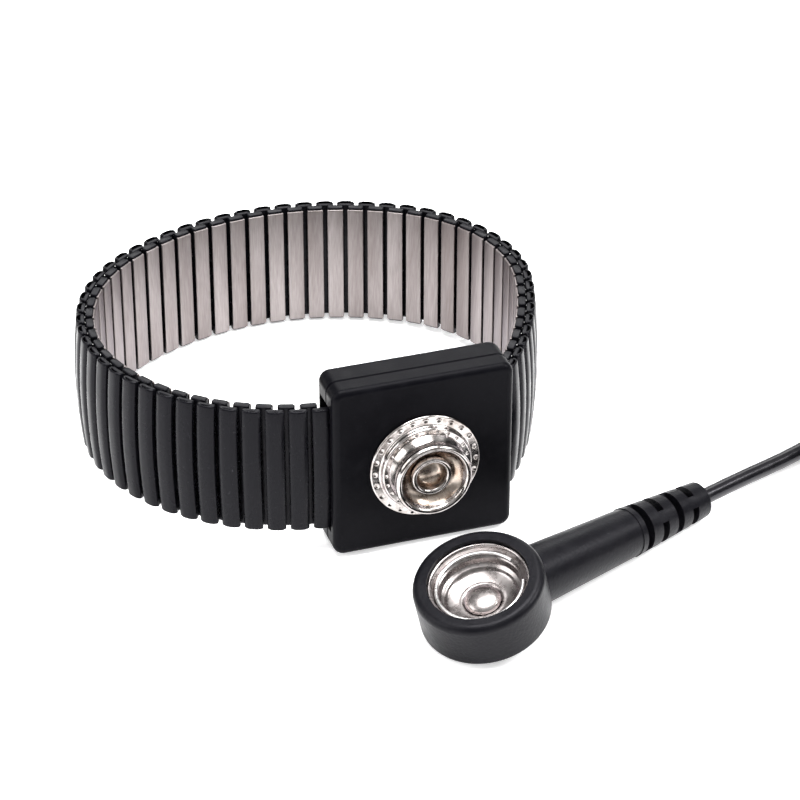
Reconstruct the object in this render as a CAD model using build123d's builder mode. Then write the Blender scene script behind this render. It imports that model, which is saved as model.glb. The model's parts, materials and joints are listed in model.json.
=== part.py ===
"""ESD wrist strap: expansion watch band, snap housing, and a ground lead that ends in a banana plug."""
from build123d import *
import os
from math import asin, atan, atan2, cos, degrees, hypot, pi, radians, sin, tan
from numpy.linalg import solve

# All sizes are in millimetres and all angles in degrees.

# ---- expansion band ----
link_count = 54  # outer links from one side of the housing to the other
link_pitch = 3.0  # closed pitch of the outer row
link_length = 18.0  # across the band
link_wall = 0.2
outer_link_width = 2.45
outer_link_thickness = 1.45
inner_link_width = 2.25
inner_link_thickness = 1.28
link_corner = 0.3
row_gap = 0.1  # between the outer and the inner row
segment_sizes = [5, 4, 5, 4, 5, 4]  # outer links in each segment, from the housing to the rear

# ---- staples and leaf springs inside the links ----
staple_wire = 0.32
staple_leg = 3.2
staple_offset = 0.5  # leg's distance from the middle of its link
staple_recess = 0.35  # between the end of a link and its staples
leaf_length = 9.0
leaf_width = 1.3
leaf_sheet = 0.1
leaf_rise = 0.3
notch_width = 1.8
notch_length = 0.9

# ---- loop that the closed band takes round a wrist ----
loop_heading = 172.6  # of the outer row where it leaves the housing's left side
loop_sweeps = [60.6, 77.6, 66.3, 71.5, 24.2]  # five tangent arcs, all turning clockwise
first_radius = 28.2
last_radius = 55.9
left_reach = 0.77  # first link's middle beyond the housing's left side
left_depth = 2.44  # first link's middle behind the housing's face
right_reach = 1.89
right_depth = 5.70

# ---- housing ----
housing_width = 24.4
housing_height = 24.8
housing_corner = 1.5
cover_depth = 3.0
shell_depth = 4.2
housing_wall = 1.3
cover_front_wall = 1.3
shell_back_wall = 1.3
face_edge = 0.9  # rounding of the front cover's face
back_edge = 1.4
seam_chamfer = 0.2
lip_height = 0.7
lip_wall = 0.6
lip_clearance = 0.1
cavity_corner = 0.6
slot_front = 1.45  # depth at which the band's side slots begin
slot_back = 5.7
slot_clearance = 0.4  # above and below the band

# ---- contact plate and the pins that hold the band ----
pin_radius = 0.5
pin_inset = 1.4  # pin's middle inside the housing's side
pin_depth = 3.0
pin_seat = 1.0  # length of pin held above and below the slot
pin_clearance = 0.03
knuckle_radius = 0.85
tab_sheet = 0.45
tab_gap = 0.2  # between a tab and the link that it holds
tab_height = 15.0
plate_sheet = 0.4
plate_gap = 0.05  # between the plate and the knuckles that press on it
plate_height = 14.0

# ---- snap stud ----
stud_drop = 0.4  # stud's middle below the housing's middle
flange_radius = 7.45
flange_sheet = 0.5
shoulder_radius = 5.95
shoulder_height = 0.9  # above the flange
snap_radius = 5.15
snap_top = 3.9  # rim above the flange
snap_land = 0.7
snap_neck = 4.6
snap_sheet = 0.35
eyelet_radius = 2.78
eyelet_top = 2.4
eyelet_bore = 1.75
eyelet_tube = 2.1
eyelet_flare = 3.0

# ---- snap plug ----
plug_place = (8.27, -46.12)  # middle of the head's underside, in the strap's frame
plug_heading = 21.9  # of the barrel, seen from above
head_lean = 15.6  # of the head, away from the barrel
head_radius = 8.43
head_height = 6.85
head_top_edge = 0.95
head_base_edge = 0.7
barrel_height = 2.9  # where the barrel's axis meets the head's
barrel_radius = 4.3
barrel_tip_radius = 3.3
barrel_length = 25.1
relief_radius = 3.4
relief_tip_radius = 2.5
relief_length = 13.2
relief_slots = 4
relief_slot_width = 1.15
relief_core = 1.6
relief_first_slot = 0.3  # start of the first slot, in slot steps
relief_plain = 0.5  # part of the relief that has no slots, in slot steps
cut_margin = 1.0  # by which a cut overshoots a surface

# ---- contact socket in the snap plug ----
socket_lip = 6.5
socket_recess = 0.65  # lip's top below the head's top
socket_bore = 5.25
socket_land = 1.0
land_depth = 1.5  # land's top below the lip
socket_sheet = 0.28
socket_floor = 2.2  # dish's bottom above the head's underside
socket_groove = 0.5  # depth of the groove that holds the spring
spring_wire = 0.24  # radius
spring_gap = 40.0
dish_ledge = 0.7  # width of the ledge under the land
dish_ledge_drop = 0.2
dish_step = 1.0  # top of the dish's slope, inside the land
dish_step_drop = 0.6
dish_collar = 0.6  # raised ring round the rivet
dish_collar_rise = 0.2
rivet_radius = 1.6
rivet_rise = 0.9
rivet_shank = 0.8
rivet_base = 0.7  # shank's end above the head's underside

# ---- resistor and crimp inside the barrel ----
resistor_radius = 1.2
resistor_length = 6.3
resistor_start = 10.5
resistor_wire = 0.3  # radius
wire_height = 1.05  # above the head's underside, under the dish
wire_bend = 0.8
wire_turn = 5.1  # where the wire turns up into the barrel, from the head's axis
wire_straight = 2.2  # behind the resistor
resistor_edge = 0.3
crimp_start = 20.5
crimp_length = 4.5
crimp_radius = 1.45
crimp_wire_hole = 1.5
crimp_cord_hole = 2.5
insert_clearance = 0.02

# ---- ground lead ----
cord_diameter = 2.2
arc_share = 0.45  # of the shorter run, taken up by each arc of a cord
coil_columns = 5  # turns side by side
coil_rows = 4  # turns on top of each other
coil_middle_radius = 14.4
cord_route = [
    (50.5, -29.05, 2.15),
    (59.2, -25.6, 1.4),
    (68.2, -21.4, 1.2),
    (75.7, -16.2, 1.6),
]
coil_place = (86.2, -31.8)
tail_route = [  # from the top of the coil down to the banana plug's strain relief
    (86.2, -13.0, 8.3),
    (95.2, -13.1, 8.2),
    (103.2, -15.7, 6.0),
    (109.0, -21.9, 4.4),
    (111.3, -28.3, 4.2),
    (111.0, -35.9, 4.4),
]
tie_angle = 200.0  # place of the tie round the coil
tie_sheet = 0.5
tie_width = 4.0
tie_clearance = 0.1

# ---- banana plug ----
handle_radius = 4.4
handle_waist = 3.8
handle_length = 26.0
handle_collar = 2.5
banana_relief_length = 9.0
banana_relief_radius = 2.9
banana_relief_tip = 2.2
banana_radius = 2.0
banana_base = 4.0
banana_core = 1.3
banana_length = 16.5  # in front of the handle
banana_nose = 2.0
banana_tail = 8.0  # of the pin, inside the handle
banana_nose_radius = 1.85
banana_tip_radius = 1.0
banana_slot_width = 0.9
cage_sheet = 0.2
cage_bulge = 2.25
cage_band = 1.0  # unslotted ring at each end of the cage
cage_slots = 4
cage_slot_width = 0.7

os.makedirs("parts", exist_ok=True)


def save(builder, name):
    """Label a finished sub-part and write its STEP file."""
    builder.part.label = name
    export_step(builder.part, f"parts/{name}.step")


def outline(plane, points):
    """Closed polygon on a plane."""
    with BuildSketch(plane) as sketch:
        with BuildLine():
            Polyline(*points, close=True)
        make_face()
    return sketch.sketch


def disc(plane, radius, hole=0.0):
    """Disc on a plane, or a ring when it has a hole."""
    with BuildSketch(plane) as sketch:
        Circle(radius)
        if hole > 0:
            Circle(hole, mode=Mode.SUBTRACT)
    return sketch.sketch


def strip(start, end, width):
    """Corners of a flat strip between two points."""
    length = hypot(end[0] - start[0], end[1] - start[1])
    side_x = -(end[1] - start[1]) / length * width / 2
    side_y = (end[0] - start[0]) / length * width / 2
    return [
        (start[0] + side_x, start[1] + side_y),
        (end[0] + side_x, end[1] + side_y),
        (end[0] - side_x, end[1] - side_y),
        (start[0] - side_x, start[1] - side_y),
    ]


# ======== the loop ========
# x runs along the housing's face to the right and y from the face towards the wrist.
loop_start = (-housing_width / 2 - left_reach, left_depth)
loop_end = (housing_width / 2 + right_reach, right_depth)
housing_depth = cover_depth + shell_depth


def arc_travel(heading, sweep):
    """Travel along x and y of a clockwise arc of radius 1."""
    first, last = radians(heading), radians(heading - sweep)
    return sin(first) - sin(last), cos(last) - cos(first)


def loop_arc_radii():
    """Radii of the five arcs: the middle three close the loop at the band's length."""
    headings = [loop_heading - sum(loop_sweeps[:i]) for i in range(len(loop_sweeps))]
    travel = [arc_travel(h, s) + (radians(s),) for h, s in zip(headings, loop_sweeps)]
    wanted = (loop_end[0] - loop_start[0], loop_end[1] - loop_start[1], (link_count - 1) * link_pitch)
    left = [
        wanted[row] - first_radius * travel[0][row] - last_radius * travel[-1][row]
        for row in range(3)
    ]
    columns = [[column[row] for column in travel[1:-1]] for row in range(3)]
    return [first_radius, *solve(columns, left), last_radius]


loop_radii = loop_arc_radii()


def on_loop(distance, inward=0.0):
    """Point and heading of the outer row's middle line, or of a line inside it."""
    x, y, heading = loop_start[0], loop_start[1], loop_heading
    for radius, sweep in zip(loop_radii, loop_sweeps):
        turn = min(degrees(distance / radius), sweep)
        step = arc_travel(heading, turn)
        x += radius * step[0]
        y += radius * step[1]
        heading -= turn
        distance -= radius * radians(turn)
    side = radians(heading - 90)
    return x + inward * cos(side), y + inward * sin(side), heading


row_spacing = (outer_link_thickness + inner_link_thickness) / 2 + row_gap
outer_places = [on_loop(i * link_pitch) for i in range(link_count)]
inner_places = [on_loop((i + 0.5) * link_pitch, row_spacing) for i in range(link_count - 1)]


def beside(place, along, outward):
    """Point at a distance along and outwards from a link's middle."""
    heading = radians(place[2])
    x = place[0] + along * cos(heading) - outward * sin(heading)
    return x, place[1] + along * sin(heading) + outward * cos(heading)


# ======== how the strap stands ========
# The housing is taller than the band, so the strap stands on the housing's back edge and on the
# rear links, with its front raised. The frame's origin is the middle of the strap's box, at its base.
corners = [
    beside(place, side * outer_link_width / 2, outer_link_thickness / 2)
    for place in outer_places
    for side in (-1, 1)
]
loop_back = max(y for x, y in corners)
tilt = degrees(atan((housing_height - link_length) / 2 / (loop_back - housing_depth + back_edge)))
lean_cos, lean_sin = cos(radians(tilt)), sin(radians(tilt))
stud_reach = flange_sheet + snap_top
front_y = -stud_reach * lean_cos - (stud_drop + snap_radius) * lean_sin
back_y = loop_back * lean_cos + link_length / 2 * lean_sin
middle_x = (min(x for x, y in corners) + max(x for x, y in corners)) / 2
face_z = (
    (housing_height / 2 - back_edge) * lean_cos
    + (housing_depth - back_edge) * lean_sin
    + back_edge
)
face_centre = Vector(-middle_x, -(front_y + back_y) / 2, face_z)
up = Vector(0, lean_sin, lean_cos)
inwards = Vector(0, lean_cos, -lean_sin)
across = Vector(1, 0, 0)

band_plane = Plane(face_centre, x_dir=across, z_dir=up)
face_plane = Plane(face_centre, x_dir=across, z_dir=-inwards)
stud_centre = face_centre - up * stud_drop
stud_plane = Plane(stud_centre, x_dir=across, z_dir=-inwards)
stud_profile = Plane(stud_centre, x_dir=across, z_dir=-up)  # its y is the stud's axis
stud_axis = Axis(stud_centre, -inwards)


def in_band(place):
    """Location of a link, x along the row, y outwards and z across the band."""
    return band_plane.location * Location((place[0], place[1], 0), (0, 0, place[2]))


# ======== band links ========
def link_shell(width, thickness, notch_side):
    """Hollow closed link with a notch near each end for its staples."""
    with BuildPart() as link:
        with BuildSketch(Plane.XY):
            RectangleRounded(width, thickness, link_corner)
        extrude(amount=link_length / 2, both=True)
        with BuildSketch(Plane.XY):
            Rectangle(width - 2 * link_wall, thickness - 2 * link_wall)
        extrude(amount=link_length / 2 - link_wall, both=True, mode=Mode.SUBTRACT)
        side_plane = Plane(
            (0, notch_side * thickness / 2, 0), x_dir=(1, 0, 0), z_dir=(0, notch_side, 0)
        )
        notch_middle = link_length / 2 - link_wall - notch_length / 2
        with BuildSketch(side_plane):
            with Locations((0, notch_middle), (0, -notch_middle)):
                Rectangle(notch_width, notch_length)
        extrude(amount=-(link_wall + insert_clearance), mode=Mode.SUBTRACT)
    return link.part


def leaf_spring(thickness):
    """Bowed strip that keeps a link's staples folded, against the link's outer wall."""
    cavity = thickness / 2 - link_wall
    top = cavity - insert_clearance
    with BuildPart() as leaf:
        with BuildSketch(Plane.YZ):
            with BuildLine():
                ThreePointArc(
                    (top - leaf_rise, -leaf_length / 2), (top, 0), (top - leaf_rise, leaf_length / 2)
                )
                Line((top - leaf_rise, leaf_length / 2), (top - leaf_rise - leaf_sheet, leaf_length / 2))
                ThreePointArc(
                    (top - leaf_rise - leaf_sheet, leaf_length / 2),
                    (top - leaf_sheet, 0),
                    (top - leaf_rise - leaf_sheet, -leaf_length / 2),
                )
                Line((top - leaf_rise - leaf_sheet, -leaf_length / 2), (top - leaf_rise, -leaf_length / 2))
            make_face()
        extrude(amount=leaf_width / 2, both=True)
    return leaf.part


def staple_pair(outer_place, inner_place, side):
    """The two staples that join an outer and an inner link, one at each edge of the band.

    side is 1 where the inner link lies ahead of the outer one along the row, and -1 behind it.
    """
    outer_leg = beside(outer_place, side * staple_offset, 0)
    inner_leg = beside(inner_place, -side * staple_offset, 0)
    span = Vector(inner_leg[0] - outer_leg[0], inner_leg[1] - outer_leg[1])
    middle = Location(((inner_leg[0] + outer_leg[0]) / 2, (inner_leg[1] + outer_leg[1]) / 2, 0))
    turned = Location((0, 0, 0), (0, 0, degrees(atan2(span.Y, span.X))))
    wire_plane = Plane(band_plane.location * middle * turned * Location((0, 0, 0), (90, 0, 0)))
    half = span.length / 2 + staple_wire / 2
    tip = link_length / 2 - staple_recess
    staples = []
    for end in (-1, 1):
        with BuildPart() as staple:
            with BuildSketch(wire_plane):
                with BuildLine():
                    Polyline(
                        (-half, end * (tip - staple_leg)),
                        (-half, end * tip),
                        (half, end * tip),
                        (half, end * (tip - staple_leg)),
                        (half - staple_wire, end * (tip - staple_leg)),
                        (half - staple_wire, end * (tip - staple_wire)),
                        (-half + staple_wire, end * (tip - staple_wire)),
                        (-half + staple_wire, end * (tip - staple_leg)),
                        close=True,
                    )
                make_face()
            extrude(amount=staple_wire / 2, both=True)
        staples.append(staple.part)
    return staples


outer_link = link_shell(outer_link_width, outer_link_thickness, -1)
inner_link = link_shell(inner_link_width, inner_link_thickness, 1)
outer_leaf = leaf_spring(outer_link_thickness)
inner_leaf = leaf_spring(inner_link_thickness)


def write_segment(name, outer_indices, inner_indices):
    """One segment of the band: its outer links, its inner links, and what is inside them."""
    with BuildPart() as outer_shells:
        with Locations(*[in_band(outer_places[i]) for i in outer_indices]):
            add(outer_link)
    save(outer_shells, f"{name}_outer_links")
    with BuildPart() as inner_shells:
        with Locations(*[in_band(inner_places[i]) for i in inner_indices]):
            add(inner_link)
    save(inner_shells, f"{name}_inner_links")
    with BuildPart() as springs:
        with Locations(*[in_band(outer_places[i]) for i in outer_indices]):
            add(outer_leaf)
        with Locations(*[in_band(inner_places[i]) for i in inner_indices]):
            add(inner_leaf)
        for i in outer_indices:
            if i in inner_indices:
                add(staple_pair(outer_places[i], inner_places[i], 1))
            if i - 1 in inner_indices:
                add(staple_pair(outer_places[i], inner_places[i - 1], -1))
    save(springs, f"{name}_staples_and_springs")


def segment_ranges():
    """Names and link numbers of the twelve segments, left half first, each from the housing."""
    segments = []
    first = 0
    for number, size in enumerate(segment_sizes, 1):
        outer = range(first, first + size)
        segments.append((f"left_{number}", outer, outer))
        first += size
    last = link_count
    for number, size in enumerate(segment_sizes, 1):
        outer = range(last - size, last)
        inner = range(last - size, min(last, link_count - 1))
        segments.append((f"right_{number}", outer, inner))
        last -= size
    return segments


# ======== housing ========
slot_height = link_length + 2 * slot_clearance
pin_half = slot_height / 2 + pin_seat
pin_x = housing_width / 2 - pin_inset


def pin_rod(side, radius, half_length):
    """Upright rod at the place of a band pin."""
    plane = Plane(in_band((side * pin_x, pin_depth, 0)))
    with BuildPart() as rod:
        with BuildSketch(plane):
            Circle(radius)
        extrude(amount=half_length, both=True)
    return rod.part


with BuildPart() as front_cover:
    with BuildSketch(face_plane):
        RectangleRounded(housing_width, housing_height, housing_corner)
    extrude(amount=-cover_depth)
    fillet(front_cover.faces().sort_by(Axis(face_centre, -inwards))[-1].edges(), face_edge)
    chamfer(front_cover.faces().sort_by(Axis(face_centre, inwards))[-1].edges(), seam_chamfer)
    with BuildSketch(face_plane.offset(-cover_front_wall)):
        RectangleRounded(
            housing_width - 2 * housing_wall,
            housing_height - 2 * housing_wall,
            housing_corner - housing_wall,
        )
    extrude(amount=cover_front_wall - cover_depth, mode=Mode.SUBTRACT)
    with BuildSketch(face_plane.offset(-slot_front)):
        Rectangle(housing_width + housing_wall, slot_height)
    extrude(amount=slot_front - cover_depth, mode=Mode.SUBTRACT)
    with BuildSketch(stud_plane):
        Circle(eyelet_tube + insert_clearance)
    extrude(amount=-cover_front_wall, mode=Mode.SUBTRACT)
    for side in (-1, 1):
        add(pin_rod(side, pin_radius + pin_clearance, pin_half + pin_clearance), mode=Mode.SUBTRACT)
save(front_cover, "front_cover")

with BuildPart() as back_shell:
    with BuildSketch(face_plane.offset(-cover_depth)):
        RectangleRounded(housing_width, housing_height, housing_corner)
    extrude(amount=-shell_depth)
    fillet(back_shell.faces().sort_by(Axis(face_centre, inwards))[-1].edges(), back_edge)
    chamfer(back_shell.faces().sort_by(Axis(face_centre, -inwards))[-1].edges(), seam_chamfer)
    with BuildSketch(face_plane.offset(lip_height - cover_depth)):
        RectangleRounded(
            housing_width - 2 * (housing_wall + lip_clearance),
            housing_height - 2 * (housing_wall + lip_clearance),
            housing_corner - housing_wall - lip_clearance,
        )
    extrude(amount=-lip_height - shell_depth / 2)
    with BuildSketch(face_plane.offset(lip_height - cover_depth)):
        RectangleRounded(
            housing_width - 2 * (housing_wall + lip_wall),
            housing_height - 2 * (housing_wall + lip_wall),
            cavity_corner,
        )
    extrude(amount=shell_back_wall - lip_height - shell_depth, mode=Mode.SUBTRACT)
    with BuildSketch(face_plane.offset(lip_height - cover_depth)):
        Rectangle(housing_width + housing_wall, slot_height)
    extrude(amount=cover_depth - lip_height - slot_back, mode=Mode.SUBTRACT)
    for side in (-1, 1):
        add(pin_rod(side, pin_radius + pin_clearance, pin_half + pin_clearance), mode=Mode.SUBTRACT)
save(back_shell, "back_shell")

with BuildPart() as band_pins:
    for side in (-1, 1):
        add(pin_rod(side, pin_radius, pin_half))
save(band_pins, "band_pins")

for side, name in ((-1, "left"), (1, "right")):
    end_link = outer_places[0] if side < 0 else outer_places[-1]
    toward_housing = side * (outer_link_width / 2 + tab_gap)
    with BuildPart() as band_tab:
        with BuildSketch(band_plane):
            with Locations((side * pin_x, pin_depth)):
                Circle(knuckle_radius)
            tongue = strip((side * pin_x, pin_depth), beside(end_link, toward_housing, 0), tab_sheet)
            add(outline(Plane.XY, tongue))
            with Locations((side * pin_x, pin_depth)):
                Circle(pin_radius + pin_clearance, mode=Mode.SUBTRACT)
        extrude(amount=tab_height / 2, both=True)
    save(band_tab, f"band_tab_{name}")

plate_depth = pin_depth + knuckle_radius + plate_gap
with BuildPart() as contact_plate:
    with BuildSketch(face_plane.offset(-plate_depth)):
        Rectangle(2 * pin_x + knuckle_radius, plate_height)
    extrude(amount=-plate_sheet)
    with BuildSketch(stud_plane.offset(-plate_depth)):
        Circle(eyelet_tube + insert_clearance)
    extrude(amount=-plate_sheet, mode=Mode.SUBTRACT)
save(contact_plate, "contact_plate")

# ======== snap stud ========
with BuildPart() as stud_flange:
    revolve(
        outline(
            stud_profile,
            [
                (eyelet_tube + insert_clearance, 0),
                (flange_radius, 0),
                (flange_radius, flange_sheet),
                (shoulder_radius + flange_sheet, flange_sheet),
                (shoulder_radius, flange_sheet + shoulder_height),
                (shoulder_radius - flange_sheet, flange_sheet + shoulder_height),
                (shoulder_radius - flange_sheet, flange_sheet),
                (eyelet_tube + insert_clearance, flange_sheet),
            ],
        ),
        axis=stud_axis,
    )
save(stud_flange, "stud_flange")

stud_foot = shoulder_radius - flange_sheet - insert_clearance
rim_top = flange_sheet + snap_top
rim_base = rim_top - snap_land - snap_sheet
with BuildPart() as snap_stud:
    revolve(
        outline(
            stud_profile,
            [
                (eyelet_tube + insert_clearance, flange_sheet),
                (stud_foot, flange_sheet),
                (stud_foot, flange_sheet + snap_sheet),
                (snap_neck, flange_sheet + 2 * snap_sheet),
                (snap_neck, rim_base - snap_sheet),
                (snap_radius, rim_base),
                (snap_radius, rim_base + snap_land),
                (snap_radius - snap_sheet, rim_top),
                (snap_radius - 2 * snap_sheet, rim_top),
                (snap_neck - snap_sheet, rim_top - snap_sheet),
                (snap_neck - snap_sheet, flange_sheet + snap_sheet),
                (eyelet_tube + insert_clearance, flange_sheet + snap_sheet),
            ],
        ),
        axis=stud_axis,
    )
save(snap_stud, "snap_stud")

eyelet_back = -plate_depth - plate_sheet
roll_edge = (eyelet_radius - eyelet_bore) / 3
with BuildPart() as stud_eyelet:
    revolve(
        outline(
            stud_profile,
            [
                (0, -cover_front_wall),
                (eyelet_bore, -cover_front_wall),
                (eyelet_bore, eyelet_top + flange_sheet - roll_edge),
                (eyelet_bore + roll_edge, eyelet_top + flange_sheet),
                (eyelet_radius - roll_edge, eyelet_top + flange_sheet),
                (eyelet_radius, eyelet_top + flange_sheet - roll_edge),
                (eyelet_radius, flange_sheet + snap_sheet + insert_clearance),
                (eyelet_tube, flange_sheet + snap_sheet + insert_clearance),
                (eyelet_tube, eyelet_back),
                (eyelet_flare, eyelet_back),
                (eyelet_flare, eyelet_back - snap_sheet),
                (eyelet_bore, eyelet_back - snap_sheet),
                (eyelet_bore, -cover_front_wall - snap_sheet),
                (0, -cover_front_wall - snap_sheet),
            ],
        ),
        axis=stud_axis,
    )
save(stud_eyelet, "stud_eyelet")

for segment_name, outer_range, inner_range in segment_ranges():
    write_segment(segment_name, outer_range, inner_range)

# ======== snap plug ========
heading_x, heading_y = cos(radians(plug_heading)), sin(radians(plug_heading))
lean_c, lean_s = cos(radians(head_lean)), sin(radians(head_lean))
head_base = (head_radius - head_base_edge) * lean_s + head_base_edge * (1 - lean_c)
relief_end = barrel_length + relief_length
barrel_drop = head_base + barrel_height * lean_c - relief_tip_radius  # down to a relief on the table
barrel_fall = degrees(asin(barrel_drop / relief_end))
fall_c, fall_s = cos(radians(barrel_fall)), sin(radians(barrel_fall))
head_centre = Vector(plug_place[0], plug_place[1], head_base)
head_up = Vector(-lean_s * heading_x, -lean_s * heading_y, lean_c)
head_front = Vector(lean_c * heading_x, lean_c * heading_y, lean_s)
head_side = Vector(-heading_y, heading_x, 0)
barrel_way = Vector(fall_c * heading_x, fall_c * heading_y, -fall_s)
barrel_origin = head_centre + head_up * barrel_height

head_plane = Plane(head_centre, x_dir=head_front, z_dir=head_up)
head_profile = Plane(head_centre, x_dir=head_front, z_dir=-head_side)  # its y is the head's axis
head_axis = Axis(head_centre, head_up)
barrel_plane = Plane(barrel_origin, x_dir=head_side, z_dir=barrel_way)

groove_radius = socket_bore + socket_groove
lip_top = head_height - socket_recess
land_top = lip_top - land_depth
land_base = land_top - socket_land
socket_inside = [  # from the lip down to the hole for the rivet
    (socket_lip - socket_sheet, lip_top),
    (groove_radius, lip_top - socket_groove),
    (groove_radius, land_top + 2 * spring_wire),
    (socket_bore, land_top),
    (socket_bore, land_base),
    (socket_bore - dish_ledge, land_base - dish_ledge_drop),
    (socket_bore - dish_step, land_base - dish_step_drop),
    (rivet_radius + dish_collar, socket_floor + dish_collar_rise),
    (rivet_radius + insert_clearance, socket_floor),
]
socket_outside = [(x + socket_sheet, y - socket_sheet) for x, y in socket_inside]


def barrel_rod(radius, start, length, tip_radius=None):
    """Round bar along the barrel's axis, tapered when a tip radius is given."""
    with BuildPart() as rod:
        with BuildSketch(barrel_plane.offset(start)):
            Circle(radius)
        if tip_radius is None:
            extrude(amount=length)
        else:
            with BuildSketch(barrel_plane.offset(start + length)):
                Circle(tip_radius)
            loft()
    return rod.part


def resistor_lead(radius):
    """Wire from the rivet's shank, under the dish, to the resistor on the barrel's axis."""
    along = radians(head_lean + barrel_fall)
    axis_points = [
        (distance * cos(along), barrel_height - distance * sin(along))
        for distance in (resistor_start - wire_straight, resistor_start)
    ]
    points = [(rivet_shank, wire_height), (wire_turn, wire_height), *axis_points]
    with BuildPart() as lead:
        with BuildLine(head_profile) as route:
            FilletPolyline(*points, radius=wire_bend)
        with BuildSketch(Plane(route.line @ 0, z_dir=route.line % 0)):
            Circle(radius)
        sweep()
    return lead.part


resistor_end = resistor_start + resistor_length
crimp_end = crimp_start + crimp_length
slot_step = relief_length / (relief_slots + relief_plain)
with BuildPart() as plug_boot:
    with BuildSketch(head_plane):
        Circle(head_radius)
    extrude(amount=head_height)
    fillet(plug_boot.faces().sort_by(head_axis)[-1].edges(), head_top_edge)
    fillet(plug_boot.faces().sort_by(head_axis)[0].edges(), head_base_edge)
    add(barrel_rod(barrel_radius, 0, barrel_length, barrel_tip_radius))
    add(barrel_rod(relief_radius, barrel_length, relief_length, relief_tip_radius))
    for slot in range(relief_slots):
        slot_start = barrel_length + (slot + relief_first_slot) * slot_step
        with BuildSketch(barrel_plane.offset(slot_start)):
            Circle(relief_radius + cut_margin)
            Circle(relief_core, mode=Mode.SUBTRACT)
            Rectangle(
                2 * (relief_radius + cut_margin),
                relief_core,
                rotation=45 + 90 * (slot % 2),
                mode=Mode.SUBTRACT,
            )
        extrude(amount=relief_slot_width, mode=Mode.SUBTRACT)
    above_mouth = head_height + barrel_radius
    cavity = [(0, above_mouth), (socket_lip, above_mouth), *socket_outside]
    revolve(
        outline(head_profile, cavity + [(0, socket_floor - socket_sheet)]),
        axis=head_axis,
        mode=Mode.SUBTRACT,
    )
    with BuildSketch(head_plane.offset(rivet_base)):
        Circle(rivet_shank + insert_clearance)
    extrude(amount=socket_floor - rivet_base, mode=Mode.SUBTRACT)
    add(resistor_lead(resistor_wire + insert_clearance), mode=Mode.SUBTRACT)
    for bore, start, end in (
        (resistor_radius, resistor_start, resistor_end),
        (resistor_wire, resistor_end, crimp_start),
        (crimp_radius, crimp_start, crimp_end),
        (cord_diameter / 2, crimp_end, relief_end),
    ):
        add(barrel_rod(bore + insert_clearance, start, end - start), mode=Mode.SUBTRACT)
save(plug_boot, "plug_boot")

with BuildPart() as socket_cup:
    revolve(outline(head_profile, socket_inside + socket_outside[::-1]), axis=head_axis)
save(socket_cup, "socket_cup")

spring_ring = socket_bore + spring_wire + insert_clearance
with BuildPart() as socket_spring:
    with BuildSketch(head_profile):
        with Locations((spring_ring, land_top + 3 * spring_wire)):
            Circle(spring_wire)
    revolve(axis=head_axis, revolution_arc=360 - spring_gap)
save(socket_spring, "socket_spring")

with BuildPart() as contact_rivet:
    with BuildSketch(head_profile):
        with BuildLine():
            RadiusArc(
                (0, socket_floor + rivet_rise),
                (rivet_radius, socket_floor),
                (rivet_radius**2 + rivet_rise**2) / (2 * rivet_rise),
            )
            Polyline(
                (rivet_radius, socket_floor),
                (rivet_radius, socket_floor - socket_sheet),
                (rivet_shank, socket_floor - socket_sheet),
                (rivet_shank, rivet_base),
                (0, rivet_base),
                (0, socket_floor + rivet_rise),
            )
        make_face()
    revolve(axis=head_axis)
save(contact_rivet, "contact_rivet")

with BuildPart() as resistor:
    add(barrel_rod(resistor_radius, resistor_start, resistor_length))
    fillet(resistor.edges().filter_by(GeomType.CIRCLE), resistor_edge)
save(resistor, "resistor")

with BuildPart() as resistor_leads:
    add(resistor_lead(resistor_wire))
    add(barrel_rod(resistor_wire, resistor_end, crimp_start + crimp_wire_hole - resistor_end))
save(resistor_leads, "resistor_leads")

with BuildPart() as crimp_ferrule:
    add(barrel_rod(crimp_radius, crimp_start, crimp_length))
    add(barrel_rod(resistor_wire + insert_clearance, crimp_start, crimp_wire_hole), mode=Mode.SUBTRACT)
    add(
        barrel_rod(
            cord_diameter / 2 + insert_clearance, crimp_end - crimp_cord_hole, crimp_cord_hole
        ),
        mode=Mode.SUBTRACT,
    )
save(crimp_ferrule, "crimp_ferrule")

with BuildPart() as crimped_lead:
    lead_start = crimp_end - crimp_cord_hole
    add(barrel_rod(cord_diameter / 2, lead_start, relief_end - lead_start))
save(crimped_lead, "crimped_lead")


# ======== ground lead ========
def cord_tube(points):
    """Round cord along straight runs joined by the largest arcs that they allow."""
    radii = []
    for before, corner, after in zip(points, points[1:], points[2:]):
        first, second = Vector(*corner) - Vector(*before), Vector(*after) - Vector(*corner)
        turn = radians(first.get_angle(second))
        radii.append(arc_share * min(first.length, second.length) / tan(turn / 2))
    with BuildPart() as tube:
        with BuildLine() as route:
            FilletPolyline(*points, radius=radii)
        with BuildSketch(Plane(route.line @ 0, z_dir=route.line % 0)):
            Circle(cord_diameter / 2)
        sweep()
    length = route.wire().length
    section = pi * cord_diameter**2 / 4
    print("cord length", round(length, 1), "with arc radii", [round(r, 1) for r in radii])
    print("its volume over section times length", round(tube.part.volume / section / length, 4))
    return tube.part


relief_exit = barrel_origin + barrel_way * relief_end
with BuildPart() as cord:
    add(cord_tube([tuple(relief_exit), *cord_route]))
save(cord, "cord")

with BuildPart() as cord_tail:
    add(cord_tube(tail_route))
save(cord_tail, "cord_tail")

coil_half_width = coil_columns * cord_diameter / 2
coil_height = coil_rows * cord_diameter
with BuildPart() as cord_coil:
    with BuildSketch(Plane((*coil_place, tie_sheet + tie_clearance))):
        Circle(coil_middle_radius + coil_half_width)
        Circle(coil_middle_radius - coil_half_width, mode=Mode.SUBTRACT)
    extrude(amount=coil_height)
    fillet(cord_coil.edges().filter_by(GeomType.CIRCLE), cord_diameter / 2)
save(cord_coil, "cord_coil")

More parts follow.
